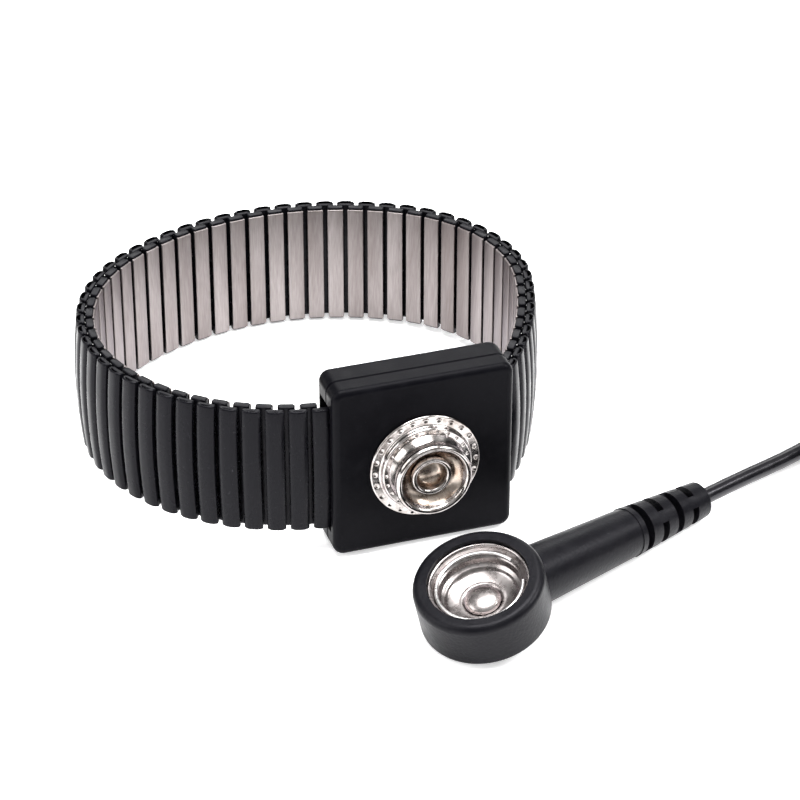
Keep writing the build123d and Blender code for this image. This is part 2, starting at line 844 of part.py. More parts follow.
tie_plane = Plane(
    (*coil_place, 0), x_dir=(cos(radians(tie_angle)), sin(radians(tie_angle)), 0), z_dir=(0, 0, 1)
)
tie_section = Plane(
    tie_plane.from_local_coords((coil_middle_radius, 0, tie_sheet + tie_clearance + coil_height / 2)),
    x_dir=tie_plane.x_dir,
    z_dir=tie_plane.y_dir,
)
with BuildPart() as coil_tie:
    with BuildSketch(tie_section):
        RectangleRounded(
            2 * (coil_half_width + tie_clearance + tie_sheet),
            coil_height + 2 * (tie_clearance + tie_sheet),
            cord_diameter / 2,
        )
        RectangleRounded(
            2 * (coil_half_width + tie_clearance),
            coil_height + 2 * tie_clearance,
            cord_diameter / 2 - tie_sheet,
            mode=Mode.SUBTRACT,
        )
    extrude(amount=tie_width / 2, both=True)
save(coil_tie, "coil_tie")

# ======== banana plug ========
banana_start = Vector(*tail_route[-1])
banana_way = Vector(0, -1, 0)
banana_profile = Plane(banana_start, x_dir=(0, 0, 1), z_dir=(1, 0, 0))  # its y runs along the plug
banana_axis = Axis(banana_start, banana_way)
handle_front = banana_relief_length + handle_length
pin_back = handle_front - banana_tail
pin_tip = handle_front + banana_length
banana_slot_step = banana_relief_length / (relief_slots + relief_plain)

with BuildPart() as banana_handle:
    with BuildSketch(banana_profile):
        with BuildLine():
            Polyline(
                (handle_radius, banana_relief_length + handle_collar),
                (banana_relief_radius, banana_relief_length),
                (banana_relief_tip, 0),
                (0, 0),
                (0, handle_front),
                (handle_radius, handle_front),
                (handle_radius, handle_front - handle_collar),
            )
            ThreePointArc(
                (handle_radius, handle_front - handle_collar),
                (handle_waist, banana_relief_length + handle_length / 2),
                (handle_radius, banana_relief_length + handle_collar),
            )
        make_face()
    revolve(axis=banana_axis)
    for slot in range(relief_slots):
        slot_distance = (slot + relief_plain) * banana_slot_step
        slot_plane = Plane(banana_start + banana_way * slot_distance, x_dir=across, z_dir=banana_way)
        with BuildSketch(slot_plane):
            Circle(handle_radius)
            Circle(relief_core, mode=Mode.SUBTRACT)
            Rectangle(
                2 * handle_radius, relief_core, rotation=90 * (slot % 2), mode=Mode.SUBTRACT
            )
        extrude(amount=banana_slot_width, mode=Mode.SUBTRACT)
    with BuildSketch(Plane(banana_start + banana_way * pin_back, z_dir=banana_way)):
        Circle(banana_core + insert_clearance)
    extrude(amount=banana_tail, mode=Mode.SUBTRACT)
save(banana_handle, "banana_handle")

cage_back = handle_front + banana_base
cage_front = pin_tip - banana_nose
with BuildPart() as banana_pin:
    revolve(
        outline(
            banana_profile,
            [
                (0, pin_back),
                (banana_core, pin_back),
                (banana_core, handle_front),
                (banana_radius, handle_front),
                (banana_radius, cage_back),
                (banana_core, cage_back),
                (banana_core, cage_front),
                (banana_nose_radius, cage_front),
                (banana_nose_radius, cage_front + banana_nose / 2),
                (banana_tip_radius, pin_tip),
                (0, pin_tip),
            ],
        ),
        axis=banana_axis,
    )
save(banana_pin, "banana_pin")

cage_inner = banana_core + insert_clearance
cage_middle = (cage_back + cage_front) / 2
cage_end = insert_clearance
with BuildPart() as banana_cage:
    with BuildSketch(banana_profile):
        with BuildLine():
            ThreePointArc(
                (cage_inner + cage_sheet, cage_back + cage_end),
                (cage_bulge, cage_middle),
                (cage_inner + cage_sheet, cage_front - cage_end),
            )
            Line((cage_inner + cage_sheet, cage_front - cage_end), (cage_inner, cage_front - cage_end))
            ThreePointArc(
                (cage_inner, cage_front - cage_end),
                (cage_bulge - cage_sheet, cage_middle),
                (cage_inner, cage_back + cage_end),
            )
            Line((cage_inner, cage_back + cage_end), (cage_inner + cage_sheet, cage_back + cage_end))
        make_face()
    revolve(axis=banana_axis)
    slots_start = banana_start + banana_way * (cage_back + cage_band)
    with BuildSketch(Plane(slots_start, x_dir=across, z_dir=banana_way)):
        for turn in range(cage_slots // 2):
            Rectangle(2 * (cage_bulge + cut_margin), cage_slot_width, rotation=45 + 90 * turn)
    extrude(amount=cage_front - cage_back - 2 * cage_band, mode=Mode.SUBTRACT)
save(banana_cage, "banana_cage")
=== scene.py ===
"""ESD wrist strap with its ground lead: the finished looks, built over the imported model."""

import json
from math import asin, cos, hypot, pi, radians, sin

import bmesh
import bpy
import numpy as np
from mathutils import Matrix, Vector


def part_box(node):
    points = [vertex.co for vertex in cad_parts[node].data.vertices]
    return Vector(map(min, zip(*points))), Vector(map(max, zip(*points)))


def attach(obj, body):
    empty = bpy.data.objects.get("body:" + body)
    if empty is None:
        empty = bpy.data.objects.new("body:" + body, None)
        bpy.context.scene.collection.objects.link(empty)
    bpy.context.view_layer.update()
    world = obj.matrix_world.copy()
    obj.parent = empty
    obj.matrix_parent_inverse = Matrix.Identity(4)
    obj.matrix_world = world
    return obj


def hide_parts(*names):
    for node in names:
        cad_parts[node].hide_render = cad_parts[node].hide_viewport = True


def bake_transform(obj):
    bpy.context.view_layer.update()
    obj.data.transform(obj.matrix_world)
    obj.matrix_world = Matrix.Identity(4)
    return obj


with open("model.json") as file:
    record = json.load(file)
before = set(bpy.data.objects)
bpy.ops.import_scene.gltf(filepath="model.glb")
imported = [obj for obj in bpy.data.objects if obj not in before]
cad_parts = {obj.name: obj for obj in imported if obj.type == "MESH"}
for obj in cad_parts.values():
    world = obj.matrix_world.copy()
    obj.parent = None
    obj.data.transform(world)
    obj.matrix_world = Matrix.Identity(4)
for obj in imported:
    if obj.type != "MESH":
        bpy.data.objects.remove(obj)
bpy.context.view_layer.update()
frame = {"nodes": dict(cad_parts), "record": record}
nodes = frame["nodes"]
record = frame["record"]
mounts = {m["name"]: m for m in record["mounts"]}
scene = bpy.context.scene
mm = 0.001

# ======== camera ========
camera_place = (-0.10293, -0.32949, 0.24921)
camera_azimuth = 19.24  # degrees that it is turned to the right of +Y
camera_drop = 35.18
camera_roll = 1.5
camera_lens = 139.5

camera_data = bpy.data.cameras.new("camera")
camera_data.lens = camera_lens
camera_data.clip_start = 0.01
camera_data.clip_end = 20
camera = bpy.data.objects.new("camera", camera_data)
camera.matrix_world = (
    Matrix.Translation(camera_place)
    @ Matrix.Rotation(-radians(camera_azimuth), 4, "Z")
    @ Matrix.Rotation(radians(90 - camera_drop), 4, "X")
    @ Matrix.Rotation(radians(camera_roll), 4, "Z")
)
scene.collection.objects.link(camera)
scene.camera = camera

# ======== cord ========
cord_diameter = 0.0022
cord_exit = (0.04301, -0.03215, 0.0025)  # end of the snap plug's strain relief
cord_route = [  # from there to the coil, down onto the surface that the strap stands on
    (0.0505, -0.02905, 0.00215),
    (0.0592, -0.0256, 0.0014),
    (0.0682, -0.0214, 0.0012),
]
coil_centre = (0.0862, -0.0318)
coil_radius = 0.0144  # of the middle of its turns
coil_columns = 5
coil_rows = 4
coil_base = 0.0017  # height of the lowest turns' middle
coil_entry_angle = 124.0
coil_turns = 19.094
coil_first_step = 0.82  # turns before the cord first moves over by a diameter
coil_shift = 0.09  # turns that each change of direction moves that place back by
coil_points_per_turn = 24
tail_route = [  # from the top of the coil down to the banana plug
    (0.0952, -0.0131, 0.0082),
    (0.1032, -0.0157, 0.0060),
    (0.1090, -0.0219, 0.0044),
    (0.1113, -0.0283, 0.0042),
    (0.1110, -0.0359, 0.0044),
]


def coil_cells():
    """Column and row of each turn in the coil's section: outside to inside, up, and back."""
    for row in range(coil_rows):
        columns = range(coil_columns)
        for column in columns if row % 2 == 0 else reversed(columns):
            yield column, row


def coil_steps():
    """Turns after which the cord moves to the next cell of the section."""
    cells = list(coil_cells())
    steps = []
    direction = cells[1][1] - cells[0][1]
    when = coil_first_step
    for here, there in zip(cells, cells[1:]):
        if there[1] - here[1] != direction:
            direction = there[1] - here[1]
            when -= coil_shift
        steps.append(when)
        when += 1
    return steps


def coil_point(turns):
    """Point of the cord's middle line after so many turns of the coil."""
    cells = list(coil_cells())
    column, row = cells[0]
    for step, (next_column, next_row) in zip(coil_steps(), cells[1:]):
        share = min(max((turns - step) / coil_shift + 0.5, 0), 1)
        share = share * share * (3 - 2 * share)
        column += share * (next_column - column)
        row += share * (next_row - row)
        if share < 1:
            break
    angle = radians(coil_entry_angle - 360 * turns)
    half_step = pi / coil_points_per_turn
    radius = coil_radius + ((coil_columns - 1) / 2 - column) * cord_diameter
    radius /= (1 + cos(half_step) ** 2) / 2  # a quadratic spline runs inside its control points
    return (
        coil_centre[0] + radius * cos(angle),
        coil_centre[1] + radius * sin(angle),
        coil_base + row * cord_diameter,
    )


def make_cord():
    """The whole cord as one spline, from the strain relief through the coil to the banana plug."""
    count = round(coil_turns * coil_points_per_turn)
    coil = [coil_point(i * coil_turns / count) for i in range(count + 1)]
    points = [cord_exit, *cord_route, *coil, *tail_route]
    curve = bpy.data.curves.new("ground_cord", "CURVE")
    curve.dimensions = "3D"
    curve.bevel_depth = 1.0  # the points hold the real radius
    curve.bevel_resolution = 5
    curve.resolution_u = 3
    curve.use_fill_caps = True
    spline = curve.splines.new("NURBS")
    spline.points.add(len(points) - 1)
    for point, place in zip(spline.points, points):
        point.co = (*place, 1)
        point.radius = cord_diameter / 2
    spline.order_u = 3
    spline.use_endpoint_u = True
    piece = bpy.data.objects.new("ground_cord", curve)
    scene.collection.objects.link(piece)
    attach(piece, "ground_lead")
    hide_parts("cord", "cord_coil", "cord_tail")
    return piece


ground_cord = make_cord()


# ======== materials ========
class Shader:
    """A Principled material and short ways to add what varies over it."""

    def __init__(
        self, name, colour, roughness, metallic=0.0, specular=0.5, coat=0.0, coat_roughness=0.1
    ):
        self.material = bpy.data.materials.new(name)
        self.material.use_nodes = True
        self.tree = self.material.node_tree
        self.surface = self.tree.nodes["Principled BSDF"]
        self.surface.inputs["Base Color"].default_value = (*colour, 1)
        self.surface.inputs["Roughness"].default_value = roughness
        self.surface.inputs["Metallic"].default_value = metallic
        self.surface.inputs["Specular IOR Level"].default_value = specular
        self.surface.inputs["Specular Tint"].default_value = (0.95, 0.93, 1.0, 1)
        self.surface.inputs["Coat Weight"].default_value = coat
        self.surface.inputs["Coat Roughness"].default_value = coat_roughness
        self.place = self.add("ShaderNodeTexCoord").outputs["Object"]

    def add(self, kind, **values):
        node = self.tree.nodes.new(kind)
        for name, value in values.items():
            setattr(node, name, value)
        return node

    def link(self, output, entry):
        self.tree.links.new(output, entry)

    def stretched(self, scale):
        """Object coordinates scaled apart along each axis."""
        mapping = self.add("ShaderNodeMapping")
        mapping.inputs["Scale"].default_value = scale
        self.link(self.place, mapping.inputs["Vector"])
        return mapping.outputs["Vector"]

    def noise(self, scale, detail=3.0, roughness=0.5, vector=None):
        node = self.add("ShaderNodeTexNoise")
        node.inputs["Scale"].default_value = scale
        node.inputs["Detail"].default_value = detail
        node.inputs["Roughness"].default_value = roughness
        self.link(vector or self.place, node.inputs["Vector"])
        return node.outputs["Fac"]

    def spread(self, value, low, high, start=0.3, end=0.7):
        """A noise value mapped to a range."""
        node = self.add("ShaderNodeMapRange")
        node.inputs["From Min"].default_value = start
        node.inputs["From Max"].default_value = end
        node.inputs["To Min"].default_value = low
        node.inputs["To Max"].default_value = high
        self.link(value, node.inputs["Value"])
        return node.outputs["Result"]

    def colours(self, value, low, high):
        """A value from 0 to 1 turned into a colour between two."""
        node = self.add("ShaderNodeMix", data_type="RGBA")
        node.inputs[6].default_value = (*low, 1)
        node.inputs[7].default_value = (*high, 1)
        self.link(value, node.inputs[0])
        return node.outputs[2]

    def vary_colour(self, value, low, high):
        self.link(self.colours(value, low, high), self.surface.inputs["Base Color"])

    def vary_roughness(self, value, low, high):
        self.link(self.spread(value, low, high), self.surface.inputs["Roughness"])

    def bump(self, value, height, strength=1.0):
        node = self.add("ShaderNodeBump")
        node.inputs["Strength"].default_value = strength
        node.inputs["Distance"].default_value = height
        self.link(value, node.inputs["Height"])
        self.link(node.outputs["Normal"], self.surface.inputs["Normal"])


def black_lacquer():
    """Gloss black over pressed steel: faint waves, fine dust and small changes in gloss."""
    shader = Shader("black_lacquer", (0.004, 0.004, 0.005), 0.28, specular=0.1)
    dust = shader.spread(shader.noise(2600, 2), 0, 1, 0.68, 0.8)
    shader.vary_colour(dust, (0.0035, 0.0035, 0.0048), (0.03, 0.03, 0.034))
    shader.vary_roughness(shader.noise(420, 4), 0.2, 0.36)
    shader.bump(shader.noise(900, 3), 0.00001)
    return shader.material


def brushed_steel(name, dark, light, low, high, along="Z"):
    """Bare steel with a fine grain along one axis, and slow changes in tone."""
    shader = Shader(name, light, 0.3, metallic=1.0)
    fine, coarse = 5200, 260
    scale = {"X": (coarse, fine, fine), "Z": (fine, fine, coarse)}[along]
    grain = shader.noise(1.0, 4, 0.6, shader.stretched(scale))
    slow = {"X": (120, 120, 120), "Z": (210, 210, 14)}[along]
    # slow changes in tone; stretched along Z, so each link keeps about one even tone over its length
    slow_tone = shader.noise(1.0, 3, 0.55, shader.stretched(slow))
    mixed = shader.add("ShaderNodeMath", operation="MULTIPLY_ADD")
    shader.link(grain, mixed.inputs[0])
    mixed.inputs[1].default_value = 0.55
    shader.link(slow_tone, mixed.inputs[2])
    shader.vary_colour(shader.spread(mixed.outputs[0], 0, 1, 0.55, 1.0), dark, light)
    shader.vary_roughness(mixed.outputs[0], low, high)
    shader.bump(grain, 0.000008)
    return shader.material


def moulded_plastic(name, base, worn, roughness, scale, height, specular=0.5):
    """Black moulded plastic: fine grain, soft scuffs, slightly lighter where it is worn."""
    shader = Shader(name, base, roughness, specular=specular)
    scuff = shader.noise(scale / 9, 5, 0.65)
    speck = shader.spread(shader.noise(scale * 1.4, 1), 0, 0.8, 0.7, 0.78)
    blend = shader.add("ShaderNodeMath", operation="MAXIMUM")
    shader.link(shader.spread(scuff, 0, 0.35, 0.45, 0.8), blend.inputs[0])
    shader.link(speck, blend.inputs[1])
    shader.vary_colour(blend.outputs[0], base, worn)
    shader.vary_roughness(scuff, roughness - 0.06, roughness + 0.08)
    shader.bump(shader.noise(scale, 3, 0.6), height)
    return shader.material


def nickel_plate():
    """Bright warm nickel: polished, with light brushing in its gloss, and darker patches painted into
    its colour that stand in for the dark bits in its reflection.
    """
    shader = Shader("nickel", (0.6, 0.57, 0.55), 0.16, metallic=1.0)
    painted_reflection_patches = shader.noise(700, 5, 0.7)
    # painted reflection: the darker colour gives patches that stand in for the dark bits reflected in
    # the polished nickel
    shader.vary_colour(shader.spread(painted_reflection_patches, 0, 1, 0.35, 0.6), (0.25, 0.222, 0.205), (0.54, 0.51, 0.495))
    shader.vary_roughness(shader.noise(1500, 4, 0.6), 0.1, 0.26)
    shader.bump(shader.noise(1200, 3), 0.00001)
    return shader.material


def warm_metal(name, dark, light, low, high):
    """Metal with soft brown stains, as inside a rolled stud."""
    shader = Shader(name, light, low, metallic=1.0)
    slow_tone = shader.noise(600, 4, 0.6)
    shader.vary_colour(shader.spread(slow_tone, 0, 1, 0.35, 0.65), dark, light)
    shader.vary_roughness(slow_tone, low, high)
    shader.bump(shader.noise(1500, 3), 0.000008)
    return shader.material


def cord_jacket():
    """Smooth polyurethane: glossy, with long soft waves."""
    shader = Shader("cord_jacket", (0.004, 0.004, 0.005), 0.22, specular=0.3)
    waves = shader.spread(shader.noise(900, 3), 0, 1)
    shader.vary_colour(waves, (0.003, 0.003, 0.004), (0.008, 0.008, 0.009))
    shader.vary_roughness(shader.noise(350, 3), 0.16, 0.3)
    shader.bump(shader.noise(500, 2), 0.00002)
    return shader.material


def resistor_body():
    """Tan lacquer over a carbon film resistor, slightly uneven."""
    shader = Shader("resistor_body", (0.5, 0.36, 0.22), 0.4)
    shader.vary_colour(shader.spread(shader.noise(500, 3), 0, 1), (0.42, 0.3, 0.18), (0.58, 0.44, 0.28))
    shader.bump(shader.noise(800, 2), 0.00002)
    return shader.material


LACQUER = black_lacquer()
STEEL = brushed_steel("brushed_links", (0.16, 0.138, 0.133), (0.30, 0.272, 0.268), 0.3, 0.46)
SPRING = brushed_steel("spring_steel", (0.5, 0.49, 0.48), (0.8, 0.79, 0.78), 0.15, 0.3, "X")
TIN = brushed_steel("tin_plate", (0.4, 0.39, 0.37), (0.6, 0.59, 0.57), 0.3, 0.45, "X")
HOUSING = moulded_plastic(
    "housing_plastic", (0.0022, 0.0022, 0.0032), (0.008, 0.008, 0.010), 0.36, 3200, 0.00001, 0.05
)
RUBBER = moulded_plastic(
    "boot_rubber", (0.0035, 0.0035, 0.0048), (0.014, 0.014, 0.016), 0.36, 2300, 0.00004, 0.11
)
TIE = moulded_plastic(
    "tie_plastic", (0.006, 0.006, 0.007), (0.02, 0.02, 0.022), 0.45, 1800, 0.00003, 0.2
)
NICKEL = nickel_plate()
WARM = warm_metal("warm_nickel", (0.30, 0.22, 0.17), (0.62, 0.54, 0.47), 0.2, 0.34)
# painted shade: a darker copy of the nickel for the contact cup and dome, which sit in shade inside the
# snap plug's head
SHADED_CUP_NICKEL = warm_metal("cup_nickel_painted_shade", (0.26, 0.232, 0.225), (0.40, 0.372, 0.365), 0.22, 0.34)
CORD = cord_jacket()
RESISTOR = resistor_body()

FINISHES = {
    "black_lacquer": LACQUER,
    "brushed_links": STEEL,
    "spring_steel": SPRING,
    "housing_plastic": HOUSING,
    "nickel": NICKEL,
    "tin_plate": TIN,
    "boot_rubber": RUBBER,
    "cord_jacket": CORD,
    "resistor_body": RESISTOR,
    "tie_plastic": TIE,
}
for part in record["subparts"]:
    for slot in nodes[part["node"]].material_slots:
        slot.link = "OBJECT"
        slot.material = FINISHES[part["material_slot"]]
ground_cord.data.materials.append(CORD)


# ======== mesh helpers ========
def new_piece(name, points, faces, materials, picks=None, smooth=True):
    """An object of one closed mesh, with a material for each face."""
    mesh = bpy.data.meshes.new(name)
    mesh.from_pydata([tuple(p) for p in points], [], faces)
    for material in materials:
        mesh.materials.append(material)
    if picks:
        mesh.polygons.foreach_set("material_index", picks)
    mesh.polygons.foreach_set("use_smooth", [smooth] * len(faces))
    mesh.update()
    piece = bpy.data.objects.new(name, mesh)
    scene.collection.objects.link(piece)
    return piece


def outward_normals(piece):
    """Turn all faces outwards."""
    grid = bmesh.new()
    grid.from_mesh(piece.data)
    bmesh.ops.recalc_face_normals(grid, faces=grid.faces)
    grid.to_mesh(piece.data)
    grid.free()


def revolved(name, place, axis, profile, materials, picks=None, steps=160, dent=None):
    """A closed profile turned round an axis. profile is (radius, height) pairs in mm.

    dent(angle, radius, height) gives a move along the axis in mm.
    """
    axis = Vector(axis).normalized()
    side = axis.orthogonal().normalized()
    other = axis.cross(side)
    points, faces, chosen = [], [], []
    for i in range(steps):
        angle = 2 * pi * i / steps
        spoke = side * cos(angle) + other * sin(angle)
        for radius, height in profile:
            rise = height + (dent(angle, radius, height) if dent else 0)
            points.append(Vector(place) + (spoke * radius + axis * rise) * mm)
    count = len(profile)
    for i in range(steps):
        here, there = i * count, (i + 1) % steps * count
        for j in range(count):
            k = (j + 1) % count
            faces.append((here + j, here + k, there + k, there + j))
            chosen.append(picks(profile[j], profile[k]) if picks else 0)
    piece = new_piece(name, points, faces, materials, chosen)
    grid = bmesh.new()
    grid.from_mesh(piece.data)
    bmesh.ops.remove_doubles(grid, verts=grid.verts, dist=1e-7)
    bmesh.ops.dissolve_degenerate(grid, edges=grid.edges, dist=1e-8)
    bmesh.ops.recalc_face_normals(grid, faces=grid.faces)
    grid.to_mesh(piece.data)
    grid.free()
    return piece


# ======== band ========
# across the band, from its lower edge to its upper one
band_up = Vector((0, mounts["snap_stud"]["axis"][2], -mounts["snap_stud"]["axis"][1]))


def link_places(node):
    """Middle and direction along the row of each link in a CAD node."""
    grid = bmesh.new()
    grid.from_mesh(nodes[node].data)
    bmesh.ops.remove_doubles(grid, verts=grid.verts, dist=1e-6)
    left = set(grid.verts)
    places = []
    while left:
        island, todo = [], [left.pop()]
        while todo:
            vert = todo.pop()
            island.append(vert.co.copy())
            for edge in vert.link_edges:
                other = edge.other_vert(vert)
                if other in left:
                    left.remove(other)
                    todo.append(other)
        places.append(link_place(np.array(island)))
    grid.free()
    return places


def link_place(cloud):
    """Middle of one link, found along the row, outwards and across the band, and its direction along
    the row, from its points.
    """
    up = np.array(band_up)
    flat = cloud - np.outer(cloud @ up, up)
    spread = np.cov((flat - flat.mean(0)).T)
    values, vectors = np.linalg.eigh(spread)
    along = vectors[:, 2]
    outward = np.cross(up, along)
    middle = np.zeros(3)
    for axis in (along, outward, up):
        reach = cloud @ axis
        middle += axis * (reach.max() + reach.min()) / 2
    return Vector(middle), Vector(along)


def in_row_order():
    """All links of both rows, from the housing's left side round to its right side."""
    rows = {"outer": [], "inner": []}
    for row, found in rows.items():
        for side in ("left", "right"):
            segments = range(1, 7) if side == "left" else range(6, 0, -1)
            for number in segments:
                node = f"{side}_{number}_{row}_links"
                for middle, along in link_places(node):
                    found.append((middle, along, side, number, node))
    loop_middle = sum((m for m, *_ in rows["inner"]), Vector()) / len(rows["inner"])
    for row, found in rows.items():
        ordered = []
        for side in ("left", "right"):
            for number in range(1, 7):
                group = [f for f in found if f[2] == side and f[3] == number]
                near = nearest_to_housing(ordered, side)
                group.sort(key=lambda f: (f[0] - near).length)
                for index, (middle, along, _, _, node) in enumerate(group):
                    outward = band_up.cross(along)
                    if outward.dot(middle - loop_middle) < 0:
                        along, outward = -along, -outward
                    ordered.append(
                        (middle, along, outward, side, number, index, len(group), node)
                    )
        rows[row] = ordered
    return rows


def nearest_to_housing(ordered, side):
    """Middle of the last link placed on this side, or the housing's side where there is none."""
    same = [o for o in ordered if o[3] == side]
    if same:
        return same[-1][0]
    low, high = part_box(f"band_tab_{side}")
    return (low + high) / 2


# Sections are in mm: x along the row, y outwards.
outer_width, outer_depth = 2.45, 1.45
inner_width, inner_depth = 2.25, 1.28
link_length = 18.0
cap_sheet = 0.2
cap_bow = 0.4  # how far the cap's middle stands out beyond its sides
cap_side = 0.62  # depth of the cap's folded sides
steel_drop = 0.28  # of the steel face's ends below the block's ends
cap_corner = 0.22  # rounding of the cap's corners, seen from the front
cap_roll = 0.17  # of the cap's ends, back over the hollow
cap_crown = 0.55  # by which the cap's middle stands out beyond its ends
block_drop = 0.12  # of the block's end below the cap's end
block_gap = 0.42  # between the block and the sides' line of the cap


def bowed_face(width, depth, bow, steps):
    """Points of a front face, flat in the middle and rounded down to its sides."""
    across = [sin(radians(90 * (2 * i / steps - 1))) for i in range(steps + 1)]
    return [(width / 2 * u, depth + bow * (1 - abs(u) ** 3.5)) for u in across]


def loft_rings(rings, points, faces):
    """Join closed rings of points end to end, with a fan in each end."""
    start = len(points)
    size = len(rings[0])
    for ring in rings:
        points.extend(ring)
    for r in range(len(rings) - 1):
        for i in range(size):
            j = (i + 1) % size
            a, b = start + r * size, start + (r + 1) * size
            faces.append((a + i, a + j, b + j, b + i))
    faces.append(tuple(start + i for i in reversed(range(size))))
    faces.append(tuple(start + (len(rings) - 1) * size + i for i in range(size)))


def end_levels(half, rounding, steps=4):
    """Heights and insets of the rings of a bar with rounded ends, from the bottom up."""
    top = []
    for i in range(steps + 1):
        angle = pi / 2 * i / steps
        top.append((half - rounding * (1 - sin(angle)), rounding * (1 - cos(angle))))
    return [(-h, inset) for h, inset in reversed(top)] + top


def inset_section(section, inset):
    """A section made smaller on all sides, towards its middle."""
    xs, ys = [p[0] for p in section], [p[1] for p in section]
    middle_x, middle_y = (max(xs) + min(xs)) / 2, (max(ys) + min(ys)) / 2
    scale_x = 1 - 2 * inset / (max(xs) - min(xs))
    scale_y = 1 - 2 * inset / (max(ys) - min(ys))
    return [
        (middle_x + (x - middle_x) * scale_x, middle_y + (y - middle_y) * scale_y)
        for x, y in section
    ]


def rounded_block(width, back, front, corner, bow=0.0, steps=3):
    """Section of a bar with rounded corners, its front bowed outwards."""
    section = []
    half = width / 2
    for cx, cy, first in (
        (half - corner, front - corner, 0),
        (-half + corner, front - corner, 90),
        (-half + corner, back + corner, 180),
        (half - corner, back + corner, 270),
    ):
        for i in range(steps + 1):
            angle = radians(first + 90 * i / steps)
            section.append((cx + corner * cos(angle), cy + corner * sin(angle)))
        if first == 0 and bow:
            for i in range(1, 8):
                x = (half - corner) * (1 - i / 4)
                section.append((x, front + bow * (1 - (x / half) ** 2)))
    return section


def placed(points, middle, along, outward):
    """Points in mm in a link's own axes, moved to the strap's frame."""
    return [middle + (along * p[0] + outward * p[1] + band_up * p[2]) * mm for p in points]


def crowned_levels():
    """Heights and insets of the cap's rings, with more of them along its middle."""
    levels = end_levels(link_length / 2, cap_corner, 6)
    half = link_length / 2 - cap_corner
    middle = [(half * (i / 7 - 1), 0.0) for i in range(1, 14)]
    return levels[:7] + middle + levels[7:]


def outer_link_mesh():
    """Points and faces of an outer link: a block and a bowed cap folded round it."""
    points, faces = [], []
    back, front = -outer_depth / 2, outer_depth / 2
    sides = front - cap_bow
    block = rounded_block(outer_width - 0.12, back, sides - block_gap, 0.25)
    rings = []
    for height, inset in end_levels(link_length / 2 - block_drop, 0.16):
        rings.append([(x, y, height) for x, y in inset_section(block, inset)])
    loft_rings(rings, points, faces)
    cap_outside = bowed_face(outer_width, sides, cap_bow, 12)
    cap_inside = bowed_face(outer_width - 2 * cap_sheet, sides - cap_sheet * 0.8, cap_bow, 12)
    half = outer_width / 2
    lip = sides - cap_side
    cap_front = range(2, 2 + len(cap_outside))
    cap = (
        [(-half + 0.05, lip), (-half, lip + 0.08)]
        + cap_outside
        + [(half, lip + 0.08), (half - 0.05, lip)]
        + [(half - cap_sheet, lip + 0.02)]
        + cap_inside[::-1]
        + [(-half + cap_sheet, lip + 0.02)]
    )
    rings = []
    for height, inset in crowned_levels():
        crown = cap_crown * (0.5 - (2 * height / link_length) ** 2)
        roll = cap_roll * inset / cap_corner
        scale = 1 - 2 * inset / outer_width
        moves = [
            crown - roll if i in cap_front else crown * (y > lip + 0.1)
            for i, (x, y) in enumerate(cap)
        ]
        rings.append([(x * scale, y + move, height) for (x, y), move in zip(cap, moves)])
    loft_rings(rings, points, faces)
    return points, faces


def inner_link_mesh():
    """Points, faces and material numbers of an inner link: a black block with a bare steel face."""
    points, faces = [], []
    back, front = -inner_depth / 2, inner_depth / 2
    plate = 0.34
    block = rounded_block(inner_width - 0.1, back + plate * 0.7, front, 0.3)
    rings = []
    for height, inset in end_levels(link_length / 2, 0.15):
        rings.append([(x, y, height) for x, y in inset_section(block, inset)])
    loft_rings(rings, points, faces)
    black = len(faces)
    steel = rounded_block(inner_width, back, back + plate, 0.12)
    rings = []
    for height, inset in end_levels(link_length / 2 - steel_drop, 0.12, 4):
        scale = 1 - 1.2 * inset / inner_width
        rise = 0.9 * inset
        rings.append([(x * scale, y + rise * (y < back + plate / 2), height) for x, y in steel])
    loft_rings(rings, points, faces)
    return points, faces, [0] * black + [1] * (len(faces) - black)


def wire(points, faces, path, radius, sides=8):
    """A round wire along straight legs."""
    rings = []
    for i, here in enumerate(path):
        before = path[max(i - 1, 0)]
        after = path[min(i + 1, len(path) - 1)]
        way = (after - before).normalized()
        side = way.orthogonal().normalized()
        if rings:
            side = (last_side - way * last_side.dot(way)).normalized()
        last_side = side
        other = way.cross(side)
        rings.append(
            [
                here + (side * cos(2 * pi * k / sides) + other * sin(2 * pi * k / sides)) * radius
                for k in range(sides)
            ]
        )
    loft_rings(rings, points, faces)


def staple_path(from_point, to_point, end, depth, drop):
    """A staple's legs and crossbar between two links, at one edge of the band."""
    top = link_length / 2 - drop
    bend = 0.12
    way = (to_point - from_point).normalized()
    up = band_up * end
    a, b = from_point + up * top * mm, to_point + up * top * mm
    return [
        a - up * depth * mm,
        a - up * bend * mm,
        a - up * bend * 0.3 * mm + way * bend * 0.3 * mm,
        a + way * bend * mm,
        b - way * bend * mm,
        b - up * bend * 0.3 * mm - way * bend * 0.3 * mm,
        b - up * bend * mm,
        b - up * depth * mm,
    ]


def ride_link(piece, middle, along, side, number):
    """Bake a link's place into its mesh."""
    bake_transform(piece)


def make_band():
    """All links, each a piece of its own, and the staples with the inner links."""
    rows = in_row_order()
    points, faces = outer_link_mesh()
    for middle, along, outward, side, number, index, size, node in rows["outer"]:
        name = f"outer_link_{side}_{number}_{index + 1}"
        piece = new_piece(name, placed(points, middle, along, outward), faces, [LACQUER])
        finish_link(piece)
        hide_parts(node)
        ride_link(piece, middle, along, side, number)
    points, faces, picks = inner_link_mesh()
    for middle, along, outward, side, number, index, size, node in rows["inner"]:
        name = f"inner_link_{side}_{number}_{index + 1}"
        piece = new_piece(
            name, placed(points, middle, along, outward), faces, [LACQUER, STEEL], picks
        )
        finish_link(piece)
        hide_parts(node)
        ride_link(piece, middle, along, side, number)
        staples = make_staples(f"staples_{side}_{number}_{index + 1}", middle, rows["outer"])
        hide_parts(f"{side}_{number}_staples_and_springs")
        ride_link(staples, middle, along, side, number)


staple_radius = 0.1


